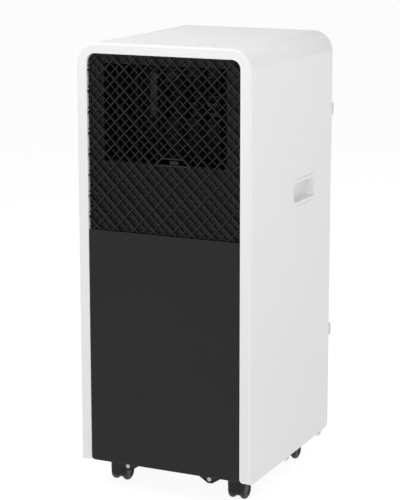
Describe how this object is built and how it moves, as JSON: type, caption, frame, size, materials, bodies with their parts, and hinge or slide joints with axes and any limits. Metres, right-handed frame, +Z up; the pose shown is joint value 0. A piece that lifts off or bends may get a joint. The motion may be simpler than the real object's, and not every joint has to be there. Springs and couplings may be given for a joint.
{
  "type": "portable air conditioner",
  "caption": "Upright room air conditioner on swivel casters: white wrap cabinet, dark diagonal lattice air outlet over a smooth dark front panel, rear exhaust collar.",
  "frame": {"origin": "on the floor, at the centre of the footprint's bounding box", "axes": "+Z up, -Y out of the front grille, +X to the right of someone facing the front"},
  "size_m": [0.3, 0.366, 0.731],
  "materials": {
    "white_plastic": "fine satin texture",
    "dark_plastic": "satin",
    "black_plastic": "matte",
    "back_plastic": "fine satin texture",
    "wheel_plastic": "satin",
    "zinc_screw": "zinc plated",
    "axle_steel": "plain",
    "coil_fins": "plain",
    "copper": "plain copper tube",
    "compressor_paint": "semi gloss",
    "galvanised": "galvanised sheet",
    "motor_steel": "plain",
    "grommet_rubber": "matte",
    "board": "solder mask",
    "foam_white": "expanded foam"
  },
  "bodies": {
    "cabinet": {"cabinet_shell": "white_plastic", "front_panel": "dark_plastic", "front_grille": "dark_plastic", "grille_backplate": "dark_plastic", "outlet_duct": "black_plastic", "grip_cup_left": "white_plastic", "grip_cup_right": "white_plastic", "rear_panel": "back_plastic", "cord_hooks": "back_plastic", "exhaust_collar": "back_plastic", "cord_gland": "black_plastic", "base_tray": "black_plastic", "middle_deck": "foam_white", "condenser": "coil_fins", "evaporator": "coil_fins", "compressor": "compressor_paint", "compressor_grommets": "grommet_rubber", "compressor_nuts": "zinc_screw", "accumulator": "copper", "refrigerant_pipes": "copper", "capillary_tube": "copper", "room_fan_housing": "foam_white", "room_fan_motor": "motor_steel", "exhaust_fan_housing": "galvanised", "exhaust_fan_motor": "motor_steel", "exhaust_plenum": "galvanised", "control_board": "board", "electrical_box": "galvanised", "run_capacitor": "galvanised", "tab_screws": "zinc_screw", "rear_screws": "zinc_screw"},
    "upper_filter": {"filter_upper": "back_plastic"},
    "lower_filter": {"filter_lower": "back_plastic"},
    "lower_drain_plug": {"drain_plug_lower": "grommet_rubber"},
    "upper_drain_plug": {"drain_plug_upper": "grommet_rubber"},
    "room_fan": {"room_fan_wheel": "black_plastic"},
    "exhaust_fan": {"exhaust_fan_wheel": "black_plastic"},
    "vane_slider": {"vane_link": "dark_plastic"},
    "vane_1": {"air_vane_1": "black_plastic"},
    "vane_2": {"air_vane_2": "black_plastic"},
    "vane_3": {"air_vane_3": "black_plastic"},
    "vane_4": {"air_vane_4": "black_plastic"},
    "vane_5": {"air_vane_5": "black_plastic"},
    "vane_6": {"air_vane_6": "black_plastic"},
    "caster_1": {"caster_1_hood": "black_plastic", "caster_1_axle": "axle_steel"},
    "caster_1_left": {"caster_1_wheel_left": "wheel_plastic"},
    "caster_1_right": {"caster_1_wheel_right": "wheel_plastic"},
    "caster_2": {"caster_2_hood": "black_plastic", "caster_2_axle": "axle_steel"},
    "caster_2_left": {"caster_2_wheel_left": "wheel_plastic"},
    "caster_2_right": {"caster_2_wheel_right": "wheel_plastic"},
    "caster_3": {"caster_3_hood": "black_plastic", "caster_3_axle": "axle_steel"},
    "caster_3_left": {"caster_3_wheel_left": "wheel_plastic"},
    "caster_3_right": {"caster_3_wheel_right": "wheel_plastic"},
    "caster_4": {"caster_4_hood": "black_plastic", "caster_4_axle": "axle_steel"},
    "caster_4_left": {"caster_4_wheel_left": "wheel_plastic"},
    "caster_4_right": {"caster_4_wheel_right": "wheel_plastic"}
  },
  "joints": [
    {"name": "filter_upper_pull", "type": "slide", "parent": "cabinet", "child": "upper_filter", "axis": [0, 1, 0], "range_m": [0, 0.05]},
    {"name": "filter_lower_pull", "type": "slide", "parent": "cabinet", "child": "lower_filter", "axis": [0, 1, 0], "range_m": [0, 0.05]},
    {"name": "drain_lower_pull", "type": "slide", "parent": "cabinet", "child": "lower_drain_plug", "axis": [0, 1, 0], "range_m": [0, 0.025]},
    {"name": "drain_upper_pull", "type": "slide", "parent": "cabinet", "child": "upper_drain_plug", "axis": [0, 1, 0], "range_m": [0, 0.025]},
    {"name": "room_fan_spin", "type": "hinge", "parent": "cabinet", "child": "room_fan", "pos_m": [0, 0.008, 0.6], "axis": [1, 0, 0], "continuous": true},
    {"name": "exhaust_fan_spin", "type": "hinge", "parent": "cabinet", "child": "exhaust_fan", "pos_m": [0.045, 0.008, 0.302], "axis": [1, 0, 0], "continuous": true},
    {"name": "vane_slide", "type": "slide", "parent": "cabinet", "child": "vane_slider", "axis": [1, 0, 0], "range_m": [-0.01, 0.01]},
    {"name": "vane_1_turn", "type": "hinge", "parent": "cabinet", "child": "vane_1", "pos_m": [-0.0875, -0.148, 0.6], "axis": [0, 0, 1], "range_deg": [-30, 30]},
    {"name": "vane_2_turn", "type": "hinge", "parent": "cabinet", "child": "vane_2", "pos_m": [-0.0525, -0.148, 0.6], "axis": [0, 0, 1], "range_deg": [-30, 30]},
    {"name": "vane_3_turn", "type": "hinge", "parent": "cabinet", "child": "vane_3", "pos_m": [-0.0175, -0.148, 0.6], "axis": [0, 0, 1], "range_deg": [-30, 30]},
    {"name": "vane_4_turn", "type": "hinge", "parent": "cabinet", "child": "vane_4", "pos_m": [0.0175, -0.148, 0.6], "axis": [0, 0, 1], "range_deg": [-30, 30]},
    {"name": "vane_5_turn", "type": "hinge", "parent": "cabinet", "child": "vane_5", "pos_m": [0.0525, -0.148, 0.6], "axis": [0, 0, 1], "range_deg": [-30, 30]},
    {"name": "vane_6_turn", "type": "hinge", "parent": "cabinet", "child": "vane_6", "pos_m": [0.0875, -0.148, 0.6], "axis": [0, 0, 1], "range_deg": [-30, 30]},
    {"name": "caster_1_swivel", "type": "hinge", "parent": "cabinet", "child": "caster_1", "pos_m": [-0.106, -0.13, 0.05], "axis": [0, 0, 1], "continuous": true},
    {"name": "caster_1_left_roll", "type": "hinge", "parent": "caster_1", "child": "caster_1_left", "pos_m": [-0.1159, -0.123, 0.016], "axis": [1, 0, 0], "continuous": true},
    {"name": "caster_1_right_roll", "type": "hinge", "parent": "caster_1", "child": "caster_1_right", "pos_m": [-0.0961, -0.123, 0.016], "axis": [1, 0, 0], "continuous": true},
    {"name": "caster_2_swivel", "type": "hinge", "parent": "cabinet", "child": "caster_2", "pos_m": [0.106, -0.13, 0.05], "axis": [0, 0, 1], "continuous": true},
    {"name": "caster_2_left_roll", "type": "hinge", "parent": "caster_2", "child": "caster_2_left", "pos_m": [0.0961, -0.123, 0.016], "axis": [1, 0, 0], "continuous": true},
    {"name": "caster_2_right_roll", "type": "hinge", "parent": "caster_2", "child": "caster_2_right", "pos_m": [0.1159, -0.123, 0.016], "axis": [1, 0, 0], "continuous": true},
    {"name": "caster_3_swivel", "type": "hinge", "parent": "cabinet", "child": "caster_3", "pos_m": [-0.106, 0.086, 0.05], "axis": [0, 0, 1], "continuous": true},
    {"name": "caster_3_left_roll", "type": "hinge", "parent": "caster_3", "child": "caster_3_left", "pos_m": [-0.1159, 0.093, 0.016], "axis": [1, 0, 0], "continuous": true},
    {"name": "caster_3_right_roll", "type": "hinge", "parent": "caster_3", "child": "caster_3_right", "pos_m": [-0.0961, 0.093, 0.016], "axis": [1, 0, 0], "continuous": true},
    {"name": "caster_4_swivel", "type": "hinge", "parent": "cabinet", "child": "caster_4", "pos_m": [0.106, 0.086, 0.05], "axis": [0, 0, 1], "continuous": true},
    {"name": "caster_4_left_roll", "type": "hinge", "parent": "caster_4", "child": "caster_4_left", "pos_m": [0.0961, 0.093, 0.016], "axis": [1, 0, 0], "continuous": true},
    {"name": "caster_4_right_roll", "type": "hinge", "parent": "caster_4", "child": "caster_4_right", "pos_m": [0.1159, 0.093, 0.016], "axis": [1, 0, 0], "continuous": true}
  ],
  "couplings": [
    {"joint": "vane_1_turn", "follows": "vane_slide", "rad_per_m": 51.282},
    {"joint": "vane_2_turn", "follows": "vane_slide", "rad_per_m": 51.282},
    {"joint": "vane_3_turn", "follows": "vane_slide", "rad_per_m": 51.282},
    {"joint": "vane_4_turn", "follows": "vane_slide", "rad_per_m": 51.282},
    {"joint": "vane_5_turn", "follows": "vane_slide", "rad_per_m": 51.282},
    {"joint": "vane_6_turn", "follows": "vane_slide", "rad_per_m": 51.282}
  ]
}
